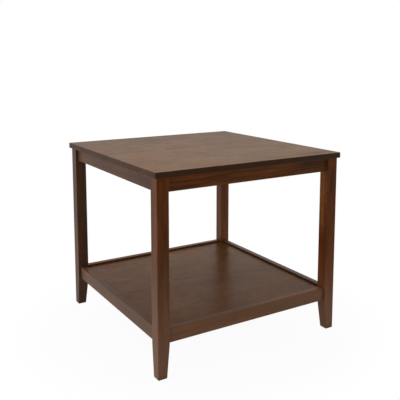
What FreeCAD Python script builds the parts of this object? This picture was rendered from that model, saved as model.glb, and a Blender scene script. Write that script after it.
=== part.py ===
import FreeCAD, Part
import math
import os

# A square wooden end table with a lower shelf.
#
# Frame: +Z up, millimetres. The origin is the middle of the table at floor level. -Y is the
# front, -X the left. Pieces at the corners are built at the front left corner and carried to
# the other three by mirroring, because the table is the same from both sides. In the same way
# the back pieces mirror the front ones, and the right pieces mirror the left ones.

V = FreeCAD.Vector

# --- Driving dimensions -------------------------------------------------------------------

# The whole table
table_height = 540.0        # floor to the face of the top
frame_width = 596.0         # across the outer faces of the legs, left to right
frame_depth = 596.0         # across the outer faces of the legs, front to back

# The top
top_thickness = 16.0
top_overhang = 7.0          # past the legs, on all four sides
top_corner_radius = 3.0
top_upper_round = 2.0       # easing of the edge round the face
top_lower_round = 1.2       # easing of the edge underneath

# The legs
leg_size = 34.0
leg_edge_radius = 1.5
foot_size = 26.0            # the two inner faces taper in to this at the floor
foot_chamfer = 1.2

# The aprons under the top
apron_height = 39.0
apron_thickness = 18.0
apron_setback = 8.0         # from the outer face of the legs
apron_edge_round = 1.2

# The rails round the shelf
rail_top = 129.0            # height of their upper edge over the floor
rail_height = 38.0
rail_thickness = 18.0
rail_setback = 8.0          # from the outer face of the legs
rail_edge_round = 1.2

# The shelf panel and the cleats it lies on
shelf_drop = 6.0            # face of the panel below the upper edge of the rails
shelf_thickness = 12.0
cleat_width = 14.0
cleat_height = 14.0

# The blocks across the corners under the top
block_reach = 60.0          # along each apron, from the corner where their inner faces meet
block_thickness = 22.0      # across the corner

# Dowels
dowel_diameter = 8.0
dowel_board_depth = 18.0    # length of a dowel inside the end of a board
dowel_chamfer = 1.0
apron_dowel_spacing = 18.0
rail_dowel_spacing = 18.0

# Hanger bolts, one through each corner block into its leg
bolt_diameter = 6.0
bolt_leg_depth = 20.0       # wood thread inside the leg
bolt_tip_length = 4.0
bolt_past_nut = 4.0
washer_diameter = 18.0
washer_thickness = 1.6
nut_across_flats = 10.0
nut_thickness = 5.0

# Screws from the corner blocks into the aprons
block_screw_diameter = 4.0
block_screw_head_diameter = 8.0
block_screw_head_height = 2.6
block_screw_reach = 44.0    # along the apron, from the corner where the inner faces meet
block_screw_grip = 10.0     # wood of the block under the head
block_screw_bite = 12.0     # thread inside the apron
block_screw_recess_diameter = 10.0

# Screws from the corner blocks up into the top
top_screw_diameter = 4.0
top_screw_head_diameter = 8.0
top_screw_head_height = 2.6
top_screw_spread = 28.0     # between the two screws of one block
top_screw_bite = 12.0       # thread inside the top
top_screw_recess_depth = 8.0
top_screw_recess_diameter = 10.0

# Countersunk screws through the cleats, sideways into the rails and up into the shelf
cleat_screw_diameter = 3.5
cleat_screw_head_diameter = 7.0
cleat_screw_head_height = 2.4
cleat_screw_bite = 10.0     # thread inside the rail
cleat_screw_inset = 40.0    # from the end of a cleat to its first screw
shelf_screw_spread = 240.0  # between the two screws that hold the panel on one cleat
shelf_screw_bite = 8.0      # thread inside the panel

# All the wood screws
screw_tip_length = 4.0
pan_head_chamfer = 0.9      # round the face of a pan head

# Glides under the feet
glide_diameter = 18.0
glide_thickness = 4.0
glide_proud = 1.0           # how far a glide stands out of its foot
glide_edge_round = 0.6
glide_nail_diameter = 2.0
glide_nail_length = 12.0

# --- Clearances ---------------------------------------------------------------------------

glue_gap = 0.05             # round a dowel, a screw or a nail in its wood
hole_end_gap = 0.5          # past the end of a dowel, bolt, screw or nail
bolt_hole_gap = 0.3         # round a hanger bolt where it passes through its block
washer_gap = 0.2            # round a hanger bolt inside its washer
dowel_wall = 1.0            # wood between the dowels that meet inside a leg
block_end_gap = 1.0         # corner block short of the apron's upper and lower edges
shelf_gap = 1.0             # round the shelf panel
cleat_end_gap = 2.0         # between a cleat and what it ends at
glide_gap = 0.1             # round a glide in its recess
open_end = 1.0              # how far a hole or a cut runs on past the face that it opens in

# --- Derived places -----------------------------------------------------------------------

left = -frame_width / 2
front = -frame_depth / 2
top_underside = table_height - top_thickness
apron_bottom = top_underside - apron_height
apron_middle = apron_bottom + apron_height / 2
apron_inner = apron_setback + apron_thickness
rail_bottom = rail_top - rail_height
rail_middle = rail_bottom + rail_height / 2
rail_inner = rail_setback + rail_thickness
shelf_face = rail_top - shelf_drop
shelf_underside = shelf_face - shelf_thickness
cleat_inner = rail_inner + cleat_width
cleat_bottom = shelf_underside - cleat_height
block_bottom = apron_bottom + block_end_gap
block_height = apron_height - 2 * block_end_gap

# Planes across a corner are given by the sum of their two distances in from the leg's outer faces.
leg_flat_sum = leg_size + apron_inner
block_inner_sum = 2 * apron_inner + block_reach
block_outer_sum = block_inner_sum - block_thickness * math.sqrt(2)

NUT_SIDES = 6
CORNERS = ("front_left", "front_right", "back_right", "back_left")
SIDE_AXES = {"front": "x", "right": "y", "back": "x", "left": "y"}
UP = V(0, 0, 1)
DIAGONAL = V(1, 1, 0).normalize()
ACROSS_DIAGONAL = V(1, -1, 0).normalize()


# --- Helpers ------------------------------------------------------------------------------

def rounded_rectangle(x0, y0, x1, y1, radius, z):
    """Closed outline of a rectangle with rounded corners at height z."""
    slack = radius * (1 - math.sqrt(0.5))
    corners = [
        (V(x1 - radius, y0, z), V(x1 - slack, y0 + slack, z), V(x1, y0 + radius, z)),
        (V(x1, y1 - radius, z), V(x1 - slack, y1 - slack, z), V(x1 - radius, y1, z)),
        (V(x0 + radius, y1, z), V(x0 + slack, y1 - slack, z), V(x0, y1 - radius, z)),
        (V(x0, y0 + radius, z), V(x0 + slack, y0 + slack, z), V(x0 + radius, y0, z)),
    ]
    edges = []
    for index, (start, middle, end) in enumerate(corners):
        edges.append(Part.makeLine(corners[index - 1][2], start))
        edges.append(Part.Arc(start, middle, end).toShape())
    return Part.Wire(edges)


def prism(points, z, height):
    """Upright solid over a polygon of (x, y) points."""
    corners = [V(x, y, z) for x, y in points]
    outline = Part.makePolygon(corners + corners[:1])
    return Part.Face(outline).extrude(V(0, 0, height))


def turned(profile, base, axis):
    """Solid of revolution; its profile is (distance from base along the axis, radius) points."""
    corners = [V(radius, 0, distance) for distance, radius in profile]
    outline = Part.makePolygon(corners + corners[:1])
    solid = Part.Face(outline).revolve(V(0, 0, 0), UP, 360)
    solid.Placement = FreeCAD.Placement(base, FreeCAD.Rotation(UP, axis))
    return solid


def rod(base, axis, start, end, radius):
    """Plain cylinder between two distances from base along a unit axis."""
    return Part.makeCylinder(radius, end - start, base + axis * start, axis)


def cut_all(solid, tools):
    """Cut the tools that reach a solid out of it."""
    for tool in tools:
        if tool.BoundBox.intersect(solid.BoundBox):
            solid = solid.cut(tool)
    return solid


def to_corner(shape, corner):
    """Carry a shape from the front left corner to another corner."""
    placed = shape.copy()
    if "right" in corner:
        placed = placed.mirror(V(0, 0, 0), V(1, 0, 0))
    if "back" in corner:
        placed = placed.mirror(V(0, 0, 0), V(0, 1, 0))
    return placed


def to_side(shape, side):
    """Carry a front or left shape to its side of the table."""
    if side == "back":
        return shape.mirror(V(0, 0, 0), V(0, 1, 0))
    if side == "right":
        return shape.mirror(V(0, 0, 0), V(1, 0, 0))
    return shape


def at_all_corners(shapes):
    """Copies of front left shapes at all four corners, in one list."""
    return [to_corner(shape, corner) for corner in CORNERS for shape in shapes]


# --- Dowels -------------------------------------------------------------------------------

def dowel_seats(setback, thickness, middle, spacing):
    """Points on the inner faces of the front left leg, with the way into the boards."""
    across = setback + thickness / 2
    seats = []
    for height in (middle - spacing / 2, middle + spacing / 2):
        seats.append((V(left + leg_size, front + across, height), V(1, 0, 0)))
        seats.append((V(left + across, front + leg_size, height), V(0, 1, 0)))
    return seats


def apron_dowel_seats():
    return dowel_seats(apron_setback, apron_thickness, apron_middle, apron_dowel_spacing)


def rail_dowel_seats():
    return dowel_seats(rail_setback, rail_thickness, rail_middle, rail_dowel_spacing)


def dowel_leg_depth(setback, thickness):
    """Depth in the leg that leaves wood between the dowels from its two sides."""
    return leg_size - setback - thickness / 2 - dowel_diameter / 2 - dowel_wall


def dowels(seats, leg_depth):
    """Dowels with chamfered ends, from inside the leg to inside the boards."""
    radius = dowel_diameter / 2
    profile = [
        (-leg_depth, 0),
        (-leg_depth, radius - dowel_chamfer),
        (-leg_depth + dowel_chamfer, radius),
        (dowel_board_depth - dowel_chamfer, radius),
        (dowel_board_depth, radius - dowel_chamfer),
        (dowel_board_depth, 0),
    ]
    return [turned(profile, seat, direction) for seat, direction in seats]


def dowel_holes(seats, leg_depth):
    """One hole for each dowel, through the joint from the leg into the board."""
    start = -leg_depth - hole_end_gap
    end = dowel_board_depth + hole_end_gap
    radius = dowel_diameter / 2 + glue_gap
    return [rod(seat, direction, start, end, radius) for seat, direction in seats]


def apron_dowel_holes():
    return dowel_holes(apron_dowel_seats(), dowel_leg_depth(apron_setback, apron_thickness))


def rail_dowel_holes():
    return dowel_holes(rail_dowel_seats(), dowel_leg_depth(rail_setback, rail_thickness))


def apron_dowels():
    depth = dowel_leg_depth(apron_setback, apron_thickness)
    return Part.makeCompound(at_all_corners(dowels(apron_dowel_seats(), depth)))


def shelf_rail_dowels():
    depth = dowel_leg_depth(rail_setback, rail_thickness)
    return Part.makeCompound(at_all_corners(dowels(rail_dowel_seats(), depth)))


# --- Screws -------------------------------------------------------------------------------

def pan_screw(seat, direction, length, diameter, head_diameter, head_height):
    """Wood screw whose head bears on the plane of its seat."""
    profile = [
        (-head_height, 0),
        (-head_height, head_diameter / 2 - pan_head_chamfer),
        (-head_height + pan_head_chamfer, head_diameter / 2),
        (0, head_diameter / 2),
        (0, diameter / 2),
        (length - screw_tip_length, diameter / 2),
        (length, 0),
    ]
    return turned(profile, seat, direction)


def pan_screw_hole(seat, direction, length, diameter, recess_diameter, recess_depth):
    """Hole for the thread of a pan head screw, and the recess that its head goes in."""
    thread = rod(seat, direction, 0, length + hole_end_gap, diameter / 2 + glue_gap)
    recess = rod(seat, direction, -recess_depth, 0, recess_diameter / 2)
    return thread.fuse(recess)


def flush_screw(seat, direction, length):
    """Countersunk wood screw whose head is flush with its seat."""
    profile = [
        (0, 0),
        (0, cleat_screw_head_diameter / 2),
        (cleat_screw_head_height, cleat_screw_diameter / 2),
        (length - screw_tip_length, cleat_screw_diameter / 2),
        (length, 0),
    ]
    return turned(profile, seat, direction)


def flush_screw_hole(seat, direction, length):
    """Hole for a countersunk screw, a glue gap wider than the screw."""
    radius = cleat_screw_diameter / 2 + glue_gap
    head_radius = cleat_screw_head_diameter / 2 + glue_gap
    end = length + hole_end_gap
    profile = [
        (-open_end, 0),
        (-open_end, head_radius),
        (0, head_radius),
        (cleat_screw_head_height, radius),
        (end, radius),
        (end, 0),
    ]
    return turned(profile, seat, direction)


# --- The top ------------------------------------------------------------------------------

def top_blank():
    """The slab with its corners and edges eased."""
    x1 = frame_width / 2 + top_overhang
    y1 = frame_depth / 2 + top_overhang
    outline = rounded_rectangle(-x1, -y1, x1, y1, top_corner_radius, top_underside)
    slab = Part.Face(outline).extrude(V(0, 0, top_thickness))
    middle = top_underside + top_thickness / 2
    upper = [edge for edge in slab.Edges if edge.BoundBox.ZMin > middle]
    slab = slab.makeFillet(top_upper_round, upper)
    underside = min(slab.Faces, key=lambda face: face.CenterOfMass.z)
    return slab.makeFillet(top_lower_round, underside.Edges)


def table_top():
    """The slab, bored underneath for the screws of the corner blocks."""
    return cut_all(top_blank(), at_all_corners(top_screw_holes()))


# --- The legs -----------------------------------------------------------------------------

def leg_section(size, inset, z):
    """Outline of the front left leg at height z, with its outer corner kept in place."""
    x0 = left + inset
    y0 = front + inset
    return rounded_rectangle(x0, y0, left + size - inset, front + size - inset, leg_edge_radius, z)


def leg_blank():
    """The leg before boring: square above, tapered on its inner faces below the rails."""
    sections = [
        leg_section(foot_size, foot_chamfer, glide_proud),
        leg_section(foot_size, 0, glide_proud + foot_chamfer),
        leg_section(leg_size, 0, rail_bottom),
        leg_section(leg_size, 0, top_underside),
    ]
    return Part.makeLoft(sections, True, True)


def inner_corner_waste():
    """What is planed off the leg's inner corner behind the aprons, for the hanger bolt."""
    near = apron_inner
    far = leg_size + open_end
    points = [(leg_size, near), (far, near), (far, far), (near, far), (near, leg_size)]
    return prism([(left + x, front + y) for x, y in points], apron_bottom, apron_height)


def leg():
    """The front left leg with its flat and its holes."""
    body = leg_blank().cut(inner_corner_waste())
    holes = apron_dowel_holes() + rail_dowel_holes()
    return cut_all(body, holes + [bolt_hole(glue_gap), glide_hole()])


# --- Aprons and rails ---------------------------------------------------------------------

def board(axis, setback, thickness, bottom, height):
    """Plain board between two legs, on the front side along x or on the left side along y."""
    if axis == "x":
        run = frame_width - 2 * leg_size
        return Part.makeBox(run, thickness, height, V(-run / 2, front + setback, bottom))
    run = frame_depth - 2 * leg_size
    return Part.makeBox(thickness, run, height, V(left + setback, -run / 2, bottom))


def long_edges(solid):
    """The four edges that run the whole length of a plain board."""
    return sorted(solid.Edges, key=lambda edge: edge.Length)[-4:]


def apron(axis):
    """Front or left apron; only its lower edges are eased, because the top covers the others."""
    solid = board(axis, apron_setback, apron_thickness, apron_bottom, apron_height)
    lower = [edge for edge in long_edges(solid) if edge.CenterOfMass.z < apron_middle]
    solid = solid.makeFillet(apron_edge_round, lower)
    return cut_all(solid, at_all_corners(apron_dowel_holes() + block_screw_holes()))


def shelf_rail(axis):
    """Front or left rail of the shelf, bored for its dowels and for the screws of its cleat."""
    solid = board(axis, rail_setback, rail_thickness, rail_bottom, rail_height)
    solid = solid.makeFillet(rail_edge_round, long_edges(solid))
    return cut_all(solid, at_all_corners(rail_dowel_holes()) + cleat_screw_holes(axis))


# --- Corner blocks, with their bolts and screws -------------------------------------------

def on_diagonal(plane_sum, height):
    """Point where the diagonal of the front left corner meets a plane across the corner."""
    return V(left + plane_sum / 2, front + plane_sum / 2, height)


def block_blank():
    """Prism across the corner, with its two ends against the aprons."""
    outer = block_outer_sum - apron_inner
    inner = block_inner_sum - apron_inner
    points = [(outer, apron_inner), (inner, apron_inner), (apron_inner, inner), (apron_inner, outer)]
    return prism([(left + x, front + y) for x, y in points], block_bottom, block_height)


def corner_block():
    """The front left corner block with its holes."""
    holes = block_screw_holes() + top_screw_holes()
    return cut_all(block_blank(), holes + [bolt_hole(bolt_hole_gap)])


def block_screw_seats():
    """Under the heads of the screws that go from the block into the two aprons."""
    along = apron_inner + block_screw_reach
    across = apron_inner + block_screw_grip
    return [
        (V(left + along, front + across, apron_middle), V(0, -1, 0)),
        (V(left + across, front + along, apron_middle), V(-1, 0, 0)),
    ]


def block_screw_holes():
    """Holes of the block screws; a recess as long as the block reaches runs out of its inner face."""
    length = block_screw_grip + block_screw_bite
    diameter = block_screw_diameter
    recess = block_screw_recess_diameter
    seats = block_screw_seats()
    return [pan_screw_hole(seat, way, length, diameter, recess, block_reach) for seat, way in seats]


def block_screws():
    length = block_screw_grip + block_screw_bite
    head = block_screw_head_diameter
    height = block_screw_head_height
    seats = block_screw_seats()
    screws = [pan_screw(seat, way, length, block_screw_diameter, head, height) for seat, way in seats]
    return Part.makeCompound(at_all_corners(screws))


def top_screw_seats():
    """Under the heads of the screws that go up from the block into the top."""
    height = block_bottom + top_screw_recess_depth
    middle = on_diagonal((block_inner_sum + block_outer_sum) / 2, height)
    offset = ACROSS_DIAGONAL * (top_screw_spread / 2)
    return [(middle + offset, UP), (middle - offset, UP)]


def top_screw_length():
    return top_underside + top_screw_bite - block_bottom - top_screw_recess_depth


def top_screw_holes():
    """Holes of the top screws; each recess runs out of the block's underside."""
    length = top_screw_length()
    diameter = top_screw_diameter
    recess = top_screw_recess_diameter
    depth = top_screw_recess_depth + open_end
    seats = top_screw_seats()
    return [pan_screw_hole(seat, way, length, diameter, recess, depth) for seat, way in seats]


def top_screws():
    length = top_screw_length()
    head = top_screw_head_diameter
    height = top_screw_head_height
    seats = top_screw_seats()
    screws = [pan_screw(seat, way, length, top_screw_diameter, head, height) for seat, way in seats]
    return Part.makeCompound(at_all_corners(screws))


def bolt_reach():
    """Distance from the flat on the leg to the inner face of the block."""
    return (block_inner_sum - leg_flat_sum) / math.sqrt(2)


def bolt_hole(gap):
    """Hole of the hanger bolt, from past its tip in the leg to past the block."""
    flat = on_diagonal(leg_flat_sum, apron_middle)
    end = bolt_reach() + open_end
    return rod(flat, DIAGONAL, -bolt_leg_depth - hole_end_gap, end, bolt_diameter / 2 + gap)


def hanger_bolts():
    """Headless bolts: a wood thread in the leg, and a machine thread through the block."""
    end = bolt_reach() + washer_thickness + nut_thickness + bolt_past_nut
    radius = bolt_diameter / 2
    tip = -bolt_leg_depth
    profile = [(tip, 0), (tip + bolt_tip_length, radius), (end, radius), (end, 0)]
    bolt = turned(profile, on_diagonal(leg_flat_sum, apron_middle), DIAGONAL)
    return Part.makeCompound(at_all_corners([bolt]))


def hanger_washers():
    """Flat washers against the inner faces of the blocks."""
    face = on_diagonal(block_inner_sum, apron_middle)
    disc = rod(face, DIAGONAL, 0, washer_thickness, washer_diameter / 2)
    disc = disc.cut(rod(face, DIAGONAL, 0, washer_thickness, bolt_diameter / 2 + washer_gap))
    return Part.makeCompound(at_all_corners([disc]))


def hanger_nuts():
    """Hexagon nuts on the washers."""
    corner_radius = nut_across_flats / 2 / math.cos(math.pi / NUT_SIDES)
    turns = [math.tau * index / NUT_SIDES for index in range(NUT_SIDES)]
    corners = [(corner_radius * math.cos(turn), corner_radius * math.sin(turn)) for turn in turns]
    nut = prism(corners, washer_thickness, nut_thickness)
    nut = nut.cut(rod(V(0, 0, washer_thickness), UP, 0, nut_thickness, bolt_diameter / 2 + glue_gap))
    face = on_diagonal(block_inner_sum, apron_middle)
    nut.Placement = FreeCAD.Placement(face, FreeCAD.Rotation(UP, DIAGONAL))
    return Part.makeCompound(at_all_corners([nut]))


# --- The shelf ----------------------------------------------------------------------------

def shelf_panel():
    """Panel inside the rails, notched round the legs, lying on the cleats."""
    x1 = frame_width / 2 - rail_inner - shelf_gap
    y1 = frame_depth / 2 - rail_inner - shelf_gap
    panel = Part.makeBox(2 * x1, 2 * y1, shelf_thickness, V(-x1, -y1, shelf_underside))
    notch = leg_size + shelf_gap
    post = Part.makeBox(notch, notch, shelf_thickness, V(left, front, shelf_underside))
    panel = cut_all(panel, at_all_corners([post]))
    for side, axis in SIDE_AXES.items():
        panel = cut_all(panel, [to_side(hole, side) for hole in shelf_screw_holes(axis)])
    return panel


def cleat_half_length(axis):
    """Half the length of a cleat: the front ones end at the legs, the left ones at the front ones."""
    if axis == "x":
        return frame_width / 2 - max(leg_size, rail_inner) - cleat_end_gap
    return frame_depth / 2 - max(leg_size, cleat_inner) - cleat_end_gap


def cleat_point(axis, along, across, height):
    """Point at a distance along a front or left cleat and in from the leg's outer face."""
    if axis == "x":
        return V(along, front + across, height)
    return V(left + across, along, height)


def cleat_outward(axis):
    """Direction from a front or left cleat to its rail."""
    return V(0, -1, 0) if axis == "x" else V(-1, 0, 0)


def shelf_cleat(axis):
    """Front or left cleat, bored for its screws."""
    half = cleat_half_length(axis)
    start = cleat_point(axis, -half, rail_inner, cleat_bottom)
    if axis == "x":
        strip = Part.makeBox(2 * half, cleat_width, cleat_height, start)
    else:
        strip = Part.makeBox(cleat_width, 2 * half, cleat_height, start)
    return cut_all(strip, cleat_screw_holes(axis) + shelf_screw_holes(axis))


def cleat_screw_seats(axis):
    """Heads of the three screws that go from one cleat into its rail."""
    last = cleat_half_length(axis) - cleat_screw_inset
    height = cleat_bottom + cleat_height / 2
    way = cleat_outward(axis)
    return [(cleat_point(axis, along, cleat_inner, height), way) for along in (-last, 0, last)]


def shelf_screw_seats(axis):
    """Heads of the two screws that go up from one cleat into the panel."""
    half = shelf_screw_spread / 2
    across = rail_inner + cleat_width / 2
    return [(cleat_point(axis, along, across, cleat_bottom), UP) for along in (-half, half)]


def cleat_screw_holes(axis):
    length = cleat_width + cleat_screw_bite
    return [flush_screw_hole(seat, way, length) for seat, way in cleat_screw_seats(axis)]


def shelf_screw_holes(axis):
    length = cleat_height + shelf_screw_bite
    return [flush_screw_hole(seat, way, length) for seat, way in shelf_screw_seats(axis)]


def screws_on_cleats(seats_of, length):
    """The same countersunk screws on the cleats of all four sides."""
    screws = []
    for side, axis in SIDE_AXES.items():
        screws += [to_side(flush_screw(seat, way, length), side) for seat, way in seats_of(axis)]
    return Part.makeCompound(screws)


def cleat_screws():
    return screws_on_cleats(cleat_screw_seats, cleat_width + cleat_screw_bite)


def shelf_screws():
    return screws_on_cleats(shelf_screw_seats, cleat_height + shelf_screw_bite)


# --- Feet ---------------------------------------------------------------------------------

def foot_centre(z):
    """Point at height z over the middle of the front left foot."""
    return V(left + foot_size / 2, front + foot_size / 2, z)


def glide():
    """Round plastic glide with its nail, under the front left foot."""
    radius = glide_diameter / 2
    nail = glide_nail_diameter / 2
    profile = [
        (0, 0),
        (0, radius - glide_edge_round),
        (glide_edge_round, radius),
        (glide_thickness, radius),
        (glide_thickness, nail),
        (glide_thickness + glide_nail_length - nail, nail),
        (glide_thickness + glide_nail_length, 0),
    ]
    return turned(profile, foot_centre(0), UP)


def glide_hole():
    """Recess of the glide in the foot, and the hole of its nail."""
    recess = rod(foot_centre(0), UP, 0, glide_thickness, glide_diameter / 2 + glide_gap)
    nail_end = glide_thickness + glide_nail_length + hole_end_gap
    return recess.fuse(rod(foot_centre(0), UP, 0, nail_end, glide_nail_diameter / 2 + glue_gap))


# --- Nodes --------------------------------------------------------------------------------

def corner_nodes():
    """Pieces that each corner has one of."""
    nodes = {}
    for name, piece in (("leg", leg()), ("corner_block", corner_block()), ("foot_glide", glide())):
        for corner in CORNERS:
            nodes[f"{name}_{corner}"] = to_corner(piece, corner)
    return nodes


def side_nodes():
    """Pieces that each side has one of."""
    nodes = {}
    for name, make in (("apron", apron), ("shelf_rail", shelf_rail), ("shelf_cleat", shelf_cleat)):
        pieces = {axis: make(axis) for axis in ("x", "y")}
        for side, axis in SIDE_AXES.items():
            nodes[f"{name}_{side}"] = to_side(pieces[axis], side)
    return nodes


def all_nodes():
    """Every node of the table by name."""
    nodes = {"table_top": table_top(), "shelf_panel": shelf_panel()}
    nodes.update(corner_nodes())
    nodes.update(side_nodes())
    for make in (apron_dowels, shelf_rail_dowels, hanger_bolts, hanger_washers, hanger_nuts,
                 block_screws, top_screws, cleat_screws, shelf_screws):
        nodes[make.__name__] = make()
    return nodes


os.makedirs("parts", exist_ok=True)
for node_name, node_shape in all_nodes().items():
    node_shape.exportStep(f"parts/{node_name}.step")
    print(node_name, len(node_shape.Solids), round(node_shape.Volume, 1), node_shape.isValid())
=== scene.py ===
import math
import random

import bmesh
import bpy
from bpy.props import FloatProperty, FloatVectorProperty, IntProperty, PointerProperty
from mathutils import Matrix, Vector


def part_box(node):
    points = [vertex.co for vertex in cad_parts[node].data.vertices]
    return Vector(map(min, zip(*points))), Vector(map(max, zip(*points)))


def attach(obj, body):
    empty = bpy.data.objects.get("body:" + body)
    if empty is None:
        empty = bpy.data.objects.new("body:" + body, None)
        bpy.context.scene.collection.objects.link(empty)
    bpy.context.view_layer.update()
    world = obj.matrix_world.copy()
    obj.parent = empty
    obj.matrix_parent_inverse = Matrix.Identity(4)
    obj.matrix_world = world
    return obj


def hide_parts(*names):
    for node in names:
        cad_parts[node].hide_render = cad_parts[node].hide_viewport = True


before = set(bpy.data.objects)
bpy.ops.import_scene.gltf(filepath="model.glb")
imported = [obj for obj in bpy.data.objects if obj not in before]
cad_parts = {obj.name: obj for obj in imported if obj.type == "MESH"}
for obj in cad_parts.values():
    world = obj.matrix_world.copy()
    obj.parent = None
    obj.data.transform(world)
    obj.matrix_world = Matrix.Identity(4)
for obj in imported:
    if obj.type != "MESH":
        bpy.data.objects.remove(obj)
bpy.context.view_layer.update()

bl_info = {
    "name": "End Table with Shelf",
    "version": (1, 0, 0),
    "blender": (4, 5, 0),
    "location": "3D View > Sidebar > End Table",
    "description": "Finishes a square wooden end table with a lower shelf, piece by piece",
    "category": "Object",
}

BODY = "root"
SIDES = ("front", "right", "back", "left")
CORNERS = ("front_left", "front_right", "back_right", "back_left")
SIDE_GRAIN = {"front": "X", "right": "Y", "back": "X", "left": "Y"}
MM = 0.001

# A length that counts as nothing.
TINY = 1e-6

# Number of the first board of each kind. A board's number decides its grain, and no two share one.
FIRST_NUMBER = {
    "table_top": 11, "leg": 21, "apron": 31, "shelf_panel": 41, "shelf_rail": 51,
    "shelf_cleat": 61, "corner_block": 71,
}

# Turns of the mapping that lay a board's grain along the X axis of the wood pattern.
GRAIN_TURN = {"X": (0, 0, 0), "Y": (0, 0, -math.pi / 2), "Z": (0, math.pi / 2, 0)}


# --- How each board came out ---

# How light a stained board is, partly its own tone and partly painted shade for boards that stand in
# shade, such as the back left leg; and its share of painted light from the bright floor, strongest at
# the bottom.
PLAIN_TONE = (1.0, 0.0)
BOARD_TONES_AND_SHADE = {
    "leg_front_left": (0.82, 1.0), "leg_front_right": (0.81, 1.0),
    "leg_back_right": (1.03, 0.5), "leg_back_left": (0.48, 0.1),
    "apron_front": (1.00, 1.0), "apron_right": (0.80, 1.0),
    "apron_back": (0.75, 1.0), "apron_left": (0.58, 1.0),
    "shelf_rail_front": (0.85, 1.0), "shelf_rail_right": (0.80, 0.6),
    "shelf_rail_back": (0.80, 0.6), "shelf_rail_left": (0.48, 0.6),
}
# Painted light from the bright floor: the wood turns paler and greyer from this height down to the
# floor.
PAINTED_FLOOR_LIGHT_HEIGHT = 0.40
PAINTED_FLOOR_LIGHT_HEIGHT_OF = {"leg_front_right": 0.27}
PAINTED_FLOOR_LIGHT_AT_FLOOR = 0.5

# Shares by face: X is both faces that look along X, +X or -X the one that looks that way.
# Extra stain on the end grain everywhere and on the top's edges, over 1 pooled there. The faces listed
# for the legs and the shelf rails are painted shade instead: the front faces of the front legs, the
# inner face of the back right leg and the inner faces of the rails, near black on the right rail's
# inner face; that rail's top is darkened too.
END_GRAIN_SOAK = 0.55
SOAK_AND_SHADE = {
    "table_top": {"X": 0.9, "Y": 1.35},
    "leg_front_left": {"-Y": 0.15}, "leg_front_right": {"-Y": 0.15}, "leg_back_right": {"-X": 0.40},
    "shelf_rail_front": {"+Y": 0.5}, "shelf_rail_right": {"-X": 2.0, "+Z": 0.42},
    "shelf_rail_back": {"-Y": 0.2}, "shelf_rail_left": {"+X": 0.5},
}

# Painted sheen: a pale colour on the faces listed, standing in for the light that they reflect.
PAINTED_SHEEN = {
    "table_top": {"Z": 0.05}, "shelf_panel": {"Z": 0.012}, "shelf_rail_right": {"Z": 0.13},
    "leg_front_left": {"-X": 0.065},
    "leg_back_left": {"X": 0.13, "Y": 0.10}, "leg_back_right": {"X": 0.05, "Y": 0.05},
    "apron_left": {"-X": 0.11}, "shelf_rail_left": {"-X": 0.07},
}

# How squarely a face has to look along an axis to count, from not at all to fully.
FACING = (0.55, 0.85)

# Darker near both ends of a board, from this share of its half length outwards.
ENDS_FROM = 0.35
DARKER_AT_ENDS = {
    "leg_back_left": 0.4, "shelf_panel": 0.18,
    "apron_front": 0.32, "apron_right": 0.32, "apron_back": 0.32, "apron_left": 0.32,
}

# How fast a board gets redder or paler, per metre along each axis.
LEVEL = (0.0, 0.0, 0.0)
REDDER = {"table_top": (-0.3, -0.15, 0.0), "shelf_panel": (-1.3, -0.5, 0.0)}
PALER = {
    "table_top": (-0.22, -0.75, 0.0), "shelf_panel": (0.28, 0.10, 0.0), "apron_left": (0.0, 0.8, 0.0),
}

# Ragged spots, each with its centre and its reach: dark knots and streaks, and a pale stretch high on
# the front right leg's inner face, partly paler wood and partly painted light where the top shades that
# face.
DARK_MARKS = {
    "table_top": [((0.235, -0.276, 0.540), (0.080, 0.020, 0.010))],
    "shelf_panel": [((-0.2586, -0.0412, 0.1230), (0.0180, 0.0045, 0.0100))],
    "leg_front_left": [((-0.2827, -0.2980, 0.2730), (0.0024, 0.0100, 0.0040))],
}
PALE_WOOD_AND_LIGHT = {"leg_front_right": [((0.2640, -0.2740, 0.4400), (0.0060, 0.0210, 0.1600))]}


# --- Wood and metal patterns ---

# How strongly each pattern shows in a kind of board. Staves is how much glued boards differ, and
# hue how far the colour strays.
TOP_GRAIN = {
    "staves": 0.03, "rings": 0.08, "fibres": 0.35, "blotches": 0.65, "mottle": 1.0, "hue": 0.2,
}
SHELF_GRAIN = {
    "staves": 0.04, "rings": 0.10, "fibres": 0.35, "blotches": 0.6, "mottle": 0.9, "hue": 0.4,
}
LEG_GRAIN = {"rings": 0.42, "fibres": 1.0, "blotches": 0.8}
RAIL_GRAIN = {"rings": 0.36, "fibres": 0.9, "blotches": 0.8}
INNER_GRAIN = {"rings": 0.5, "fibres": 0.5, "blotches": 0.4}

# Roughness and reflection of the thin coat on the inner wood.
INNER_COAT = (0.62, 0.3)

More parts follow.
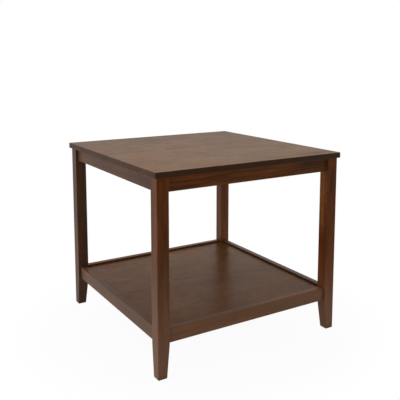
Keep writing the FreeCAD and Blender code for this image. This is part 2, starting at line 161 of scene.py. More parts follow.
# Noises: spots to the metre, one number or one for each axis, then detail and roughness.
NOISES = {
    "bend": ((2.6, 11.0, 11.0), 2.0, 0.5),
    "waves": ((14.0, 26.0, 26.0), 2.0, 0.5),
    "streaks": ((2.4, 120.0, 120.0), 3.0, 0.6),
    "patches": ((7.0, 44.0, 44.0), 3.0, 0.55),
    "fibres": ((16.0, 900.0, 900.0), 2.0, 0.6),
    "blotches": ((4.0, 13.0, 13.0), 3.0, 0.55),
    "mottle": ((34.0, 80.0, 80.0), 3.0, 0.6),
    "pores": ((60.0, 1500.0, 1500.0), 1.0, 0.5),
    "rubbed_edge": (90.0, 4.0, 0.65),
    "ragged_outline": (120.0, 3.0, 0.6),
    "smudges": (9.0, 3.0, 0.55),
    "rubbing": ((30.0, 420.0, 420.0), 2.0, 0.6),
    "zinc_clouds": (260.0, 4.0, 0.6),
    "turning_marks": ((300.0, 300.0, 5200.0), 2.0, 0.6),
    "nylon_skin": (2600.0, 2.0, 0.6),
    "nylon_scratches": ((1500.0, 260.0, 100.0), 3.0, 0.7),
    "beech_grain": ((800.0, 800.0, 70.0), 3.0, 0.6),
    "beech_flecks": ((1500.0, 1500.0, 160.0), 1.0, 0.5),
}

# How far the grain bends and waves across itself, and how far a stave's pattern is moved.
BEND = (0.0, 0.022, 0.022)
WAVES = (0.0, 0.004, 0.004)
STAVE_SHIFT = (3.0, 0.09, 0.05)
STAVE_JOINT = (0.1 * MM, 0.6 * MM)

# Chance in each board, in metres: where its pattern starts along the grain, and where its pith
# lies beside and below it. The drift is how much the pith strays along the board.
START_ALONG = (-9, 9)
PITH_BESIDE = (0.03, 0.08)
PITH_BELOW = (0.02, 0.06)
PITH_DRIFT = (-0.03, 0.03)

# Year rings: the part of a year that ends it, how late the dark wood gathers, the faintest year.
YEAR_END = (0.90, 1.0)
LATENESS = 2.2
FAINTEST_YEAR = 0.4

# Pores: the noise that opens them, and the parts of a year between which they thin out.
PORES_OPEN = (0.60, 0.72)
EARLY_WOOD = (0.75, 0.25)

# Tone of plain wood, and what shows in it how strongly.
PLAIN_WOOD = 0.56
PATCHES_TO_FIBRES = 1.3
PORES_DARKEN = 0.22
WARM_WOOD = (0.32, 0.68)
MARKS_SHOW = 0.7
JOINTS_SHOW = 0.4
WEAR_SHOWS = 0.45
# The painted sheen shows most on pale grain.
PAINTED_SHEEN_ON_PALE_GRAIN = (0.25, 0.80, 0.0, 2.0)

# Relief of the wood, and how ragged worn edges and marks are.
FIBRES_RISE = 0.35
PATCHES_RISE = 0.6
PORES_SINK = 0.8
WEAR_BREAKS = (0.38, 0.62, 0.25, 1.0)
RAGGED = (0.9, 0.9, 0.9)
MARK_FADES = (0.35, 1.1, 1.0, 0.0)

# What adds to the roughness of a coat or a surface.
SMUDGES_REACH = 0.14
RUBBING_REACH = 0.10
PORES_ROUGHEN = 0.12
WEAR_ROUGHENS = 0.08
GRAIN_ROUGHENS = 0.2

# Fine relief of each finish: its strength and its depth.
WOOD_RELIEF = (0.22, 0.4 * MM)
ZINC_RELIEF = (0.15, 0.1 * MM)
NYLON_RELIEF = (0.3, 0.08 * MM)
BEECH_RELIEF = (0.25, 0.2 * MM)

# Metal, nylon and beech. Each fastener has its pattern moved on by a length.
MOVED_ON = 0.37
ZINC_ROUGHNESS = (0.3, 0.7, 0.24, 0.42)
NYLON_ROUGHNESS = 0.45
SCUFF_HEIGHT = (0.1 * MM, 0.7 * MM)
SCRATCHES_SHOW = (0.5, 0.7)
BEECH_ROUGHNESS = 0.6
FLECKS_SHOW = (0.6, 0.7)
FLECKS_DARKEN = 0.3

# What happens to the colour of the wood, as factors.
WARMER = (1.12, 0.96, 0.92, 1)
COOLER = (0.92, 1.00, 1.06, 1)
# Paler wood with painted light on it, for the pale stretch.
PALE_WOOD_AND_LIGHT_FACTORS = (2.5, 3.2, 3.8, 1)
# Soaked stain, which also serves as painted shade, and darker still where it pooled or the painted
# shade is deepest.
SOAKED_AND_SHADED = (0.21, 0.16, 0.14, 1)
POOLED_AND_SHADED = (0.25, 0.25, 0.25, 1)
WORN = (1.9, 1.8, 1.7, 1)
DULL_ZINC = (0.74, 0.70, 0.58)
BRIGHT_ZINC = (1.12, 1.12, 1.12)
SCUFFED_NYLON = (3.2, 3.2, 3.2)

# Colours painted on the wood: painted light from the floor and painted sheen; and the warm tint of the
# lacquer's reflection.
PAINTED_FLOOR_LIGHT_COLOUR = (0.225, 0.130, 0.080, 1)
PAINTED_SHEEN_COLOUR = (0.25, 0.20, 0.155, 1)
LACQUER_TINT = (1.0, 0.72, 0.52, 1)


# --- Fasteners, stage ---

PAN_SCREW = {"Shank": 4.0 * MM, "Head": 8.0 * MM, "Head Height": 2.6 * MM}
FLUSH_SCREW = {"Shank": 3.5 * MM, "Head": 7.0 * MM, "Head Height": 2.4 * MM}
SCREW_TIP = 4 * MM
RECESS_OF_HEAD = 0.56
HANGER_BOLT = {
    "Diameter": 6 * MM, "Tip": 4 * MM, "Wood Length": 20 * MM, "Machine Length": 24 * MM,
}
WASHER = {"Diameter": 18 * MM, "Hole": 6.4 * MM, "Thickness": 1.6 * MM}
NUT = {"Across Flats": 10 * MM, "Thickness": 5 * MM, "Hole": 6.1 * MM}
DOWEL = {"Diameter": 8 * MM, "Chamfer": 1 * MM}

# Outlines of the screw heads, as shares of their radius and height.
PAN_HEAD = ((0.55, 0.0), (0.86, 0.22), (1.0, 0.60), (1.0, 0.92), (0.97, 1.0))
FLUSH_HEAD = ((0.96, 0.0), (0.99, 0.08))

# The lamps: the setting with their power, their size, where they stand and what they face.
LAMPS = {
    "key_light": ("key_power", 1.6, (-2.1, 0.2, 0.75), (0, 0, 0.35)),
    "top_light": ("top_power", 1.8, (-0.2, 0.5, 2.3), (0, 0, 0.5)),
    "back_light": ("back_power", 0.5, (1.28, 1.78, 1.08), (0.0, 0.0, 0.12)),
    "floor_card": ("card_power", 1.1, (0.05, -0.86, 0.004), (0.05, -0.86, 1.0)),
}
CAMERA_PLACE = (-0.9623, -1.5805, 0.8152)
WHITE = (1, 1, 1, 1)
FLOOR_COLOUR = (0.86, 0.86, 0.86, 1)

# How far from the middle the floor's shadow fades out, and how white the floor is within it.
SHADOW_REACH = (0.42, 0.64)
SHADOW_WHITE = 0.955


# --- Settings ---

def colour(name, description, default):
    """A colour setting, in linear light."""
    return FloatVectorProperty(
        name=name, description=description, default=default, subtype="COLOR", size=3, min=0, max=1
    )


def length(name, description, default):
    """A length setting, in metres."""
    return FloatProperty(name=name, description=description, default=default, unit="LENGTH", min=0)


def share(name, description, default):
    """A setting from nothing to all."""
    return FloatProperty(
        name=name, description=description, default=default, subtype="FACTOR", min=0, max=1
    )


def power(name, description, default):
    """The power setting of a lamp, in watts."""
    return FloatProperty(name=name, description=description, default=default, unit="POWER")


def angle(name, description, degrees):
    """An angle setting."""
    return FloatProperty(
        name=name, description=description, default=math.radians(degrees), subtype="ANGLE"
    )


class StainSettings(bpy.types.PropertyGroup):
    """The walnut stain and its satin lacquer."""

    top_dark: colour("Top, Dark", "Darkest grain of the top", (0.058, 0.025, 0.007))
    top_light: colour("Top, Light", "Lightest grain of the top", (0.190, 0.091, 0.030))
    shelf_dark: colour("Shelf, Dark", "Darkest grain of the shelf panel", (0.049, 0.0186, 0.0058))
    shelf_light: colour("Shelf, Light", "Lightest grain of the shelf panel", (0.202, 0.0840, 0.0212))
    leg_dark: colour("Legs, Dark", "Darkest grain of the legs", (0.046, 0.012, 0.002))
    leg_light: colour("Legs, Light", "Lightest grain of the legs", (0.205, 0.059, 0.009))
    rail_dark: colour("Rails, Dark", "Darkest grain of the aprons and rails", (0.042, 0.012, 0.002))
    rail_light: colour("Rails, Light", "Lightest grain of the aprons and rails", (0.195, 0.058, 0.013))
    inner_dark: colour("Inner Wood, Dark", "Dark grain of cleats and blocks", (0.150, 0.080, 0.040))
    inner_light: colour("Inner Wood, Light", "Light grain of cleats and blocks", (0.370, 0.240, 0.140))
    dowel_dark: colour("Dowels, Dark", "Dark grain of the beech dowels", (0.420, 0.280, 0.160))
    dowel_light: colour("Dowels, Light", "Light grain of the beech dowels", (0.640, 0.480, 0.300))
    top_roughness: share("Top Roughness", "Roughness of the lacquer on the top", 0.50)
    shelf_roughness: share("Shelf Roughness", "Roughness of the lacquer on the shelf panel", 0.28)
    leg_roughness: share("Leg Roughness", "Roughness of the lacquer on legs and rails", 0.44)
    panel_lacquer: share("Panel Lacquer", "How strongly the lacquer on the top reflects", 0.17)
    shelf_lacquer: share("Shelf Lacquer", "How strongly the lacquer on the shelf panel reflects", 0.046)
    frame_lacquer: share("Frame Lacquer", "How strongly the lacquer on legs and rails reflects", 0.12)
    stave_width: length("Stave Width", "Width of the boards that the panels are glued from", 0.087)
    stave_length: length("Stave Length", "Length of one board in a panel", 0.42)
    ring_spacing: length("Ring Spacing", "Distance between the year rings", 0.0052)
    wear_width: length("Edge Wear", "How far the rubbed stain reaches in from an edge", 0.0022)


class HardwareSettings(bpy.types.PropertyGroup):
    """Screws, bolts and dowels."""

    zinc: colour("Zinc", "Colour of the plated steel", (0.62, 0.60, 0.55))
    nylon: colour("Nylon", "Colour of the glides", (0.050, 0.035, 0.028))
    wood_pitch: length("Wood Screw Pitch", "Lead of a wood screw's thread", 0.0018)
    bolt_wood_pitch: length("Bolt Wood Pitch", "Lead of a hanger bolt's wood thread", 0.0026)
    bolt_pitch: length("Bolt Pitch", "Lead of a hanger bolt's machine thread", 0.0010)
    thread_depth: length("Thread Depth", "Height of a thread over its root", 0.0005)
    flutes: IntProperty(name="Dowel Flutes", description="Grooves along a dowel", default=18, min=3)
    flute_depth: length("Flute Depth", "Depth of a dowel's grooves", 0.0003)


class StageSettings(bpy.types.PropertyGroup):
    """Floor, light and camera."""

    floor_radius: length("Floor Radius", "How far the floor reaches", 6.0)
    sky: share("Room Light", "Light that comes from the whole room", 0.45)
    key_power: power("Key Light", "Power on the left", 15.0)
    top_power: power("Top Light", "Power overhead", 11.6)
    card_power: power("Floor Card", "Power in front", 1.0)
    back_power: power("Back Light", "Power behind", 24.0)
    lens: FloatProperty(name="Lens", description="Focal length", default=54.44, unit="CAMERA")
    turn: angle("Camera Turn", "From the back towards the right", 31.56)
    tilt: angle("Camera Tilt", "Down from level", 7.4)
    shift: FloatProperty(name="Camera Shift", description="Rise of the lens", default=-0.16)


SETTINGS = {
    "table_stain": StainSettings,
    "table_hardware": HardwareSettings,
    "table_stage": StageSettings,
}


# --- Nodes and new objects ---

# What the sockets of the node groups hold, where it isn't a plain number.
SOCKETS = {
    "NodeSocketVector": ("Vector", "Pith", "Centre", "Half Size", "Reach"),
    "NodeSocketColor": ("Dark", "Light", "Color"),
    "NodeSocketInt": ("Count", "Segments"),
    "NodeSocketGeometry": ("Profile", "Points", "Mesh"),
    "NodeSocketMaterial": ("Material",),
}
SOCKET_KINDS = {name: kind for kind, names in SOCKETS.items() for name in names}


class Output:
    """An output that can be reckoned with: each + - * or / adds a math node."""

    def __init__(self, nodes, socket):
        self.nodes = nodes
        self.socket = socket
        self.is_vector = socket.type in ("VECTOR", "RGBA")

    def reckon(self, operation, first, second):
        kind = self.nodes.vector if self.is_vector else self.nodes.math
        return kind(operation, first, second)

    def __add__(self, other):
        return self.reckon("ADD", self, other)

    def __sub__(self, other):
        return self.reckon("SUBTRACT", self, other)

    def __rsub__(self, other):
        return self.reckon("SUBTRACT", other, self)

    def __mul__(self, other):
        return self.reckon("MULTIPLY", self, other)

    def __truediv__(self, other):
        return self.reckon("DIVIDE", self, other)

    def sway(self, reach):
        """From 0 to 1 made into a push either way, with the given reach from end to end."""
        return (self - ((0.5, 0.5, 0.5) if self.is_vector else 0.5)) * reach


class Outputs:
    """The outputs of a node, by name or number."""

    def __init__(self, nodes, node):
        self.nodes = nodes
        self.node = node

    def __getitem__(self, name):
        return Output(self.nodes, self.node.outputs[name])


class Nodes:
    """Adds nodes to a tree, with their inputs given by name or number."""

    def __init__(self, tree):
        self.tree = tree

    def add(self, kind, inputs=None, **settings):
        node = self.tree.nodes.new(kind)
        for name, value in settings.items():
            setattr(node, name, value)
        for name, value in (inputs or {}).items():
            self.put(node.inputs[name], value)
        return Outputs(self, node)

    def put(self, socket, value):
        if isinstance(value, Output):
            self.tree.links.new(value.socket, socket)
        else:
            socket.default_value = value

    def math(self, operation, *values, clamp=False):
        return self.add("ShaderNodeMath", dict(enumerate(values)), operation=operation,
                        use_clamp=clamp)[0]

    def larger(self, first, second):
        return self.math("MAXIMUM", first, second)

    def vector(self, operation, *values):
        result = "Value" if operation in ("LENGTH", "DOT_PRODUCT") else "Vector"
        return self.add("ShaderNodeVectorMath", dict(enumerate(values)), operation=operation)[result]

    def combine(self, x, y, z):
        return self.add("ShaderNodeCombineXYZ", {"X": x, "Y": y, "Z": z})[0]

    def separate(self, vector):
        return self.add("ShaderNodeSeparateXYZ", {0: vector})

    def ramp(self, value, low, high, to_low=0.0, to_high=1.0):
        """A smooth step between two values."""
        return self.add(
            "ShaderNodeMapRange",
            {"Value": value, "From Min": low, "From Max": high, "To Min": to_low, "To Max": to_high},
            interpolation_type="SMOOTHSTEP",
        )[0]

    def noise(self, place, name, result="Fac"):
        """The value or the colour of one of the named noises."""
        spots, detail, roughness = NOISES[name]
        if isinstance(spots, tuple):
            place = place * spots
            spots = 1.0
        return self.add("ShaderNodeTexNoise", {
            "Vector": place, "Scale": spots, "Detail": detail, "Roughness": roughness,
        })[result]

    def chance(self, number):
        """A random value from 0 to 1 for a number."""
        return self.add("ShaderNodeTexWhiteNoise", {"W": number}, noise_dimensions="1D")[0]

    def mix_colour(self, factor, first, second, blend="MIX"):
        return self.add("ShaderNodeMix", {0: factor, 6: first, 7: second},
                        data_type="RGBA", blend_type=blend)[2]

    def tinted(self, colour, factors):
        return self.mix_colour(1.0, colour, factors, "MULTIPLY")

    def use(self, name, inputs):
        """A shared shader group with its own values."""
        return self.add("ShaderNodeGroup", inputs, node_tree=bpy.data.node_groups[name])


def new_object(name, data):
    """A new object, put in the scene."""
    made = bpy.data.objects.new(name, data)
    bpy.context.scene.collection.objects.link(made)
    return made


def fresh_nodes(owner):
    """The nodes helper for a material's or a world's own tree, emptied."""
    owner.use_nodes = True
    owner.node_tree.nodes.clear()
    return Nodes(owner.node_tree)


def new_group(group_name, inputs, outputs, tree_kind="ShaderNodeTree"):
    """An empty node group with its named sockets, as the nodes helper and what it is given."""
    tree = bpy.data.node_groups.new(group_name, tree_kind)
    for way, names in (("INPUT", inputs), ("OUTPUT", outputs)):
        for name in names:
            kind = SOCKET_KINDS.get(name, "NodeSocketFloat")
            tree.interface.new_socket(name=name, in_out=way, socket_type=kind)
    nodes = Nodes(tree)
    return nodes, nodes.add("NodeGroupInput")


def close_group(nodes, values):
    """Join a group's results to its outputs."""
    nodes.add("NodeGroupOutput", values)


def staves_group():
    """Splits a panel into glued boards: each shifts the pattern and has a tone of its own."""
    nodes, given = new_group(
        "Glued Staves", ("Vector", "Width", "Length", "Seed"), ("Vector", "Tone", "Joint"))
    x, y, z = nodes.separate(given["Vector"])
    row = y / given["Width"]
    row_number = nodes.math("FLOOR", row)
    column = x / given["Length"] + nodes.chance(row_number + given["Seed"])
    cell = nodes.combine(nodes.math("FLOOR", column), row_number, given["Seed"])
    chance = nodes.add("ShaderNodeTexWhiteNoise", {"Vector": cell}, noise_dimensions="3D")
    side_distance = nodes.math("PINGPONG", row, 0.5) * given["Width"]
    end_distance = nodes.math("PINGPONG", column, 0.5) * given["Length"]
    nearest = nodes.math("MINIMUM", side_distance, end_distance)
    close_group(nodes, {
        "Vector": given["Vector"] + chance["Color"].sway(STAVE_SHIFT),
        "Tone": chance["Value"],
        "Joint": nodes.ramp(nearest, *STAVE_JOINT, 1.0, 0.0),
    })


def solid_wood_group():
    """Wood that runs through the whole piece: rings about a pith, fibres, pores and blotches."""
    nodes, given = new_group(
        "Solid Wood",
        ("Vector", "Pith", "Drift", "Ring Spacing", "Rings", "Fibres", "Blotches", "Mottle"),
        ("Tone", "Warmth", "Pores", "Height"),
    )
    point = given["Vector"]
    bent = point + nodes.noise(point, "bend", "Color").sway(BEND)
    bent = bent + nodes.noise(point, "waves", "Color").sway(WAVES)

    # Year rings: late wood darkens slowly and ends sharply, and more in some years.
    x, y, z = nodes.separate(bent + given["Pith"])
    radius = nodes.vector("LENGTH", nodes.combine(0.0, y + x * given["Drift"], z))
    turn = radius / given["Ring Spacing"]
    part = nodes.math("FRACT", turn)
    late = nodes.math("POWER", part, LATENESS) * nodes.ramp(part, *YEAR_END, 1.0, 0.0)
    ring = late * (nodes.chance(nodes.math("FLOOR", turn)) + FAINTEST_YEAR)

    streak, patch, fine, pore, mottle = (
        nodes.noise(bent, name) for name in ("streaks", "patches", "fibres", "pores", "mottle")
    )
    pores = nodes.ramp(pore, *PORES_OPEN) * nodes.ramp(part, *EARLY_WOOD)
    tone = (
        PLAIN_WOOD - ring * given["Rings"]
        + streak.sway(given["Fibres"]) + patch.sway(given["Fibres"] * PATCHES_TO_FIBRES)
        + fine.sway(given["Fibres"] * 0.5) + nodes.noise(point, "blotches").sway(given["Blotches"])
        + mottle.sway(given["Mottle"])
    )
    tint = nodes.add("ShaderNodeSeparateColor", {0: nodes.noise(point, "blotches", "Color")})
    close_group(nodes, {
        "Tone": nodes.math("SUBTRACT", tone, pores * PORES_DARKEN, clamp=True),
        "Warmth": nodes.ramp(tint["Green"], *WARM_WOOD),
        "Pores": pores,
        "Height": fine * FIBRES_RISE - pores * PORES_SINK + patch * PATCHES_RISE,
    })


def edge_wear_group():
    """Nearness to the edges of a piece's box, plain and broken up so that it looks rubbed."""
    nodes, given = new_group(
        "Edge Wear", ("Vector", "Centre", "Half Size", "Width"), ("Edge", "Rubbed"))
    outwards = nodes.vector("ABSOLUTE", given["Vector"] - given["Centre"])
    x, y, z = nodes.separate(given["Half Size"] - outwards)
    second = nodes.larger(nodes.math("MINIMUM", x, y), nodes.math("MINIMUM", nodes.larger(x, y), z))
    edge = nodes.ramp(second, 0.0, given["Width"], 1.0, 0.0)
    broken = nodes.noise(given["Vector"], "rubbed_edge")
    close_group(nodes, {"Edge": edge, "Rubbed": edge * nodes.ramp(broken, *WEAR_BREAKS)})


def stain_group():
    """Colour of stained wood from its grain, warmth, worn edges and soaked places, with painted shade,
    painted light and painted sheen mixed in.
    """
    shares = ("Tone", "Warmth", "Rubbed", "Joint", "Soak", "Mark", "Sapwood", "Dust", "Film")
    nodes, given = new_group("Stain", ("Dark", "Light", *shares), ("Color",))
    wood = nodes.mix_colour(given["Tone"], given["Dark"], given["Light"])
    wood = nodes.mix_colour(given["Warmth"], nodes.tinted(wood, COOLER), nodes.tinted(wood, WARMER))
    wood = nodes.mix_colour(given["Sapwood"], wood, nodes.tinted(wood, PALE_WOOD_AND_LIGHT_FACTORS))
    # The soaked colour also serves as painted shade.
    full = nodes.tinted(wood, SOAKED_AND_SHADED)
    over = nodes.math("SUBTRACT", given["Soak"], 1.0, clamp=True)
    full = nodes.mix_colour(over, full, nodes.tinted(full, POOLED_AND_SHADED))
    spots = nodes.larger(given["Mark"] * MARKS_SHOW, given["Joint"] * JOINTS_SHOW)
    wood = nodes.mix_colour(nodes.math("MAXIMUM", given["Soak"], spots, clamp=True), wood, full)
    wood = nodes.mix_colour(given["Rubbed"] * WEAR_SHOWS, wood, nodes.tinted(wood, WORN))
    # Painted light from the floor, then painted sheen.
    floor_lit = nodes.mix_colour(given["Dust"], wood, PAINTED_FLOOR_LIGHT_COLOUR)
    close_group(nodes, {"Color": nodes.mix_colour(given["Film"], floor_lit, PAINTED_SHEEN_COLOUR)})


def mark_group():
    """A small knot or mineral streak, or a pale stretch that is partly paler wood and partly painted
    light, with a ragged outline.
    """
    nodes, given = new_group("Wood Mark", ("Vector", "Centre", "Reach"), ("Mark",))
    ragged = nodes.noise(given["Vector"], "ragged_outline", "Color").sway(RAGGED)
    away = (given["Vector"] - given["Centre"]) / given["Reach"]
    close_group(nodes, {"Mark": nodes.ramp(nodes.vector("LENGTH", away + ragged), *MARK_FADES)})


def lacquer_group():
    """Roughness of a rubbed satin lacquer: smudges, faint scratches and open pores."""
    nodes, given = new_group(
        "Satin Lacquer", ("Vector", "Roughness", "Pores", "Rubbed"), ("Roughness",))
    smudges = nodes.noise(given["Vector"], "smudges").sway(SMUDGES_REACH)
    rubbing = nodes.noise(given["Vector"], "rubbing").sway(RUBBING_REACH)
    rough = given["Roughness"] + smudges + rubbing + given["Pores"] * PORES_ROUGHEN
    close_group(nodes, {
        "Roughness": nodes.math("ADD", rough, given["Rubbed"] * WEAR_ROUGHENS, clamp=True),
    })


# --- Wood materials ---

def new_material(name):
    """A material with one Principled shader, and the nodes helper."""
    material = bpy.data.materials.new(name)
    material.use_nodes = True
    nodes = Nodes(material.node_tree)
    return material, nodes, material.node_tree.nodes["Principled BSDF"]


def dress(nodes, shader, colour, roughness, height, relief):
    """Join colour and roughness to a shader, with a fine relief."""
    strength, depth = relief
    bump = nodes.add("ShaderNodeBump", {"Strength": strength, "Distance": depth, "Height": height})[0]
    for name, value in (("Base Color", colour), ("Roughness", roughness), ("Normal", bump)):
        nodes.put(shader.inputs[name], value)


def give_material(node_name, material):
    """Let a CAD piece wear a material."""
    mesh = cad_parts[node_name].data
    mesh.materials.clear()
    mesh.materials.append(material)


def tinted_by(colour, factors):
    """A colour setting times some factors, none over 1, as a colour with alpha."""
    return (*(min(1.0, channel * factor) for channel, factor in zip(colour, factors)), 1)


def share_of_faces(nodes, normal, strengths):
    """A share for the faces that look along an axis: X means both ways, +X or -X one way."""
    facing = nodes.separate(normal)
    highest = 0.0
    for way, strength in strengths.items():
        towards = facing["XYZ".index(way[-1])]
        if way[0] == "-":
            towards = towards * -1.0
        elif len(way) == 1:
            towards = nodes.math("ABSOLUTE", towards)
        highest = nodes.larger(highest, nodes.ramp(towards, *FACING, 0.0, strength))
    return highest


def share_of_marks(nodes, place, marks):
    """A share inside some ragged spots, each given by its centre and its reach."""
    highest = 0.0
    for centre, reach in marks:
        spot = nodes.use("Wood Mark", {"Vector": place, "Centre": centre, "Reach": reach})
        highest = nodes.larger(highest, spot["Mark"])
    return highest


def lay_grain(nodes, middle, grain, staves, number, chance):
    """Place along the grain, with the joint and the tone of glued staves where there are any."""
    stain = bpy.context.scene.table_stain
    along = nodes.add("ShaderNodeMapping", {"Vector": middle, "Rotation": GRAIN_TURN[grain]})[0]
    if not staves:
        return along + (chance.uniform(*START_ALONG), 0.0, 0.0), 0.0, 0.0
    glued = nodes.use("Glued Staves", {
        "Vector": along, "Width": stain.stave_width, "Length": stain.stave_length,
        "Seed": float(number),
    })
    return glued["Vector"], glued["Joint"] * min(1.0, staves * 4), glued["Tone"].sway(staves)


def stain_and_shade(nodes, node_name, grain, normal, middle, half):
    """Extra stain on the end grain and the top's edges, painted shade on some faces, and darker wood
    near both ends of some boards.
    """
    soak_and_shade = share_of_faces(nodes, normal, {grain: END_GRAIN_SOAK, **SOAK_AND_SHADE.get(node_name, {})})
    if node_name in DARKER_AT_ENDS:
        axis = "XYZ".index(grain)
        from_middle = nodes.math("ABSOLUTE", nodes.separate(middle)[axis])
        start = half[axis] * ENDS_FROM
        near_end = nodes.ramp(from_middle, start, half[axis], 0.0, DARKER_AT_ENDS[node_name])
        soak_and_shade = nodes.larger(soak_and_shade, near_end)
    return soak_and_shade


def finish_board(node_name, grain, colours, coat, number, rings, fibres, blotches,
                 mottle=0.0, staves=0.0, hue=1.0, edges_in_painted_shade=False):
    """Give a CAD piece stained and lacquered wood, with grain that no other piece has.

    Colours are the darkest and the lightest grain, and coat the lacquer's roughness and
    reflection. Edges are rubbed pale, or darkened as painted shade where the piece meets others.
    """
    stain = bpy.context.scene.table_stain
    material, nodes, shader = new_material(f"{node_name}_wood")
    low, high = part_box(node_name)
    centre, half = (low + high) / 2, (high - low) / 2
    chance = random.Random(number)
    coordinates = nodes.add("ShaderNodeTexCoord")
    place, normal = coordinates["Object"], coordinates["Normal"]
    middle = place - tuple(centre)
    along, joint, stave_tone = lay_grain(nodes, middle, grain, staves, number, chance)
    wood = nodes.use("Solid Wood", {
        "Vector": along,
        "Pith": (0.0, chance.uniform(*PITH_BESIDE), chance.uniform(*PITH_BELOW)),
        "Drift": chance.uniform(*PITH_DRIFT),
        "Ring Spacing": stain.ring_spacing,
        "Rings": rings, "Fibres": fibres, "Blotches": blotches, "Mottle": mottle,
    })
    wear = nodes.use("Edge Wear", {
        "Vector": place, "Centre": centre, "Half Size": half, "Width": stain.wear_width,
    })
    # Extra stain, with painted shade on some faces.
    soak_and_shade = stain_and_shade(nodes, node_name, grain, normal, middle, half)
    rubbed = wear["Rubbed"]
    # Painted shade along the edges where the piece meets others.
    if edges_in_painted_shade:
        soak_and_shade = nodes.larger(soak_and_shade, wear["Edge"])
        rubbed = 0.0
    # Painted sheen on faces that catch reflected light.
    painted_sheen = share_of_faces(nodes, normal, PAINTED_SHEEN.get(node_name, {}))
    if staves:
        painted_sheen = nodes.ramp(wood["Tone"], *PAINTED_SHEEN_ON_PALE_GRAIN) * painted_sheen
    paler = nodes.vector("DOT_PRODUCT", place, PALER.get(node_name, LEVEL))
    redder = nodes.vector("DOT_PRODUCT", place, REDDER.get(node_name, LEVEL))
    warmth = nodes.math("ADD", wood["Warmth"].sway(hue) + 0.5, redder, clamp=True)
    # The board's tone, with painted shade in it for boards that stand in shade.
    depth, floor_light_share = BOARD_TONES_AND_SHADE.get(node_name, PLAIN_TONE)
    dark, light = (tinted_by(shade, (depth, depth, depth)) for shade in colours)
    # Painted light from the bright floor, paler and greyer towards the floor.
    painted_floor_light_height = PAINTED_FLOOR_LIGHT_HEIGHT_OF.get(node_name, PAINTED_FLOOR_LIGHT_HEIGHT)
    painted_floor_light = nodes.ramp(nodes.separate(place)[2], painted_floor_light_height, 0.0, 0.0, PAINTED_FLOOR_LIGHT_AT_FLOOR * floor_light_share)
    stained = nodes.use("Stain", {
        "Dark": dark, "Light": light, "Tone": wood["Tone"] + stave_tone + paler, "Warmth": warmth,
        "Rubbed": rubbed, "Joint": joint, "Soak": soak_and_shade, "Film": painted_sheen, "Dust": painted_floor_light,
        "Mark": share_of_marks(nodes, place, DARK_MARKS.get(node_name, ())),
        # A pale stretch, partly paler wood and partly painted light.
        "Sapwood": share_of_marks(nodes, place, PALE_WOOD_AND_LIGHT.get(node_name, ())),
    })
    roughness, reflection = coat
    lacquer = nodes.use("Satin Lacquer", {
        "Vector": along, "Roughness": roughness, "Pores": wood["Pores"], "Rubbed": rubbed,
    })
    dress(nodes, shader, stained["Color"], lacquer["Roughness"], wood["Height"], WOOD_RELIEF)
    shader.inputs["Specular IOR Level"].default_value = reflection
    shader.inputs["Specular Tint"].default_value = LACQUER_TINT
    give_material(node_name, material)


def finish_boards(piece, places, colours, coat, pattern):
    """Finish like boards, with the grain along the side that each is on, or upright in a corner."""
    for number, place in enumerate(places, FIRST_NUMBER[piece]):
        grain = SIDE_GRAIN.get(place, "Z")
        finish_board(f"{piece}_{place}", grain, colours, coat, number, **pattern)


# --- Metal, nylon and beech ---

def own_place(nodes):
    """Coordinates of one fastener, with its axis along Z and a stretch of pattern of its own."""
    along = nodes.add("ShaderNodeAttribute", attribute_name="along")["Vector"]
    number = nodes.add("ShaderNodeAttribute", attribute_name="number")["Fac"]
    return along + nodes.combine(0.0, 0.0, number * MOVED_ON)


def zinc_material():
    """Zinc plating: bright and faintly yellow, with cloudy crystals and turning marks."""
    if "zinc_plate" in bpy.data.materials:
        return bpy.data.materials["zinc_plate"]
    zinc = bpy.context.scene.table_hardware.zinc
    material, nodes, shader = new_material("zinc_plate")
    place = own_place(nodes)
    cloud = nodes.noise(place, "zinc_clouds")
    metal = nodes.mix_colour(cloud, tinted_by(zinc, DULL_ZINC), tinted_by(zinc, BRIGHT_ZINC))
    marks = nodes.noise(place, "turning_marks")
    dress(nodes, shader, metal, nodes.ramp(cloud, *ZINC_ROUGHNESS), marks, ZINC_RELIEF)
    shader.inputs["Metallic"].default_value = 1.0
    return material


def nylon_material():
    """Dark moulded nylon: fine spark-eroded skin, and pale scuffs where it slides."""
    nylon = bpy.context.scene.table_hardware.nylon
    material, nodes, shader = new_material("moulded_nylon")
    place = nodes.add("ShaderNodeTexCoord")["Object"]
    skin = nodes.noise(place, "nylon_skin")
    under = nodes.ramp(nodes.separate(place)[2], *SCUFF_HEIGHT, 1.0, 0.0)
    scuff = under * nodes.ramp(nodes.noise(place, "nylon_scratches"), *SCRATCHES_SHOW)
    moulded = nodes.mix_colour(scuff, (*nylon, 1), tinted_by(nylon, SCUFFED_NYLON))
    dress(nodes, shader, moulded, skin * GRAIN_ROUGHENS + NYLON_ROUGHNESS, skin, NYLON_RELIEF)
    return material


def dowel_material():
    """Raw beech with its short flecks, along whichever way a dowel lies."""
    stain = bpy.context.scene.table_stain
    material, nodes, shader = new_material("raw_beech")
    along = own_place(nodes)
    grain = nodes.noise(along, "beech_grain")
    fleck = nodes.ramp(nodes.noise(along, "beech_flecks"), *FLECKS_SHOW)
    tone = nodes.math("SUBTRACT", grain, fleck * FLECKS_DARKEN, clamp=True)
    beech = nodes.mix_colour(tone, (*stain.dowel_dark, 1), (*stain.dowel_light, 1))
    dress(nodes, shader, beech, grain * GRAIN_ROUGHENS + BEECH_ROUGHNESS, grain, BEECH_RELIEF)
    return material


# --- Geometry nodes for the fasteners ---

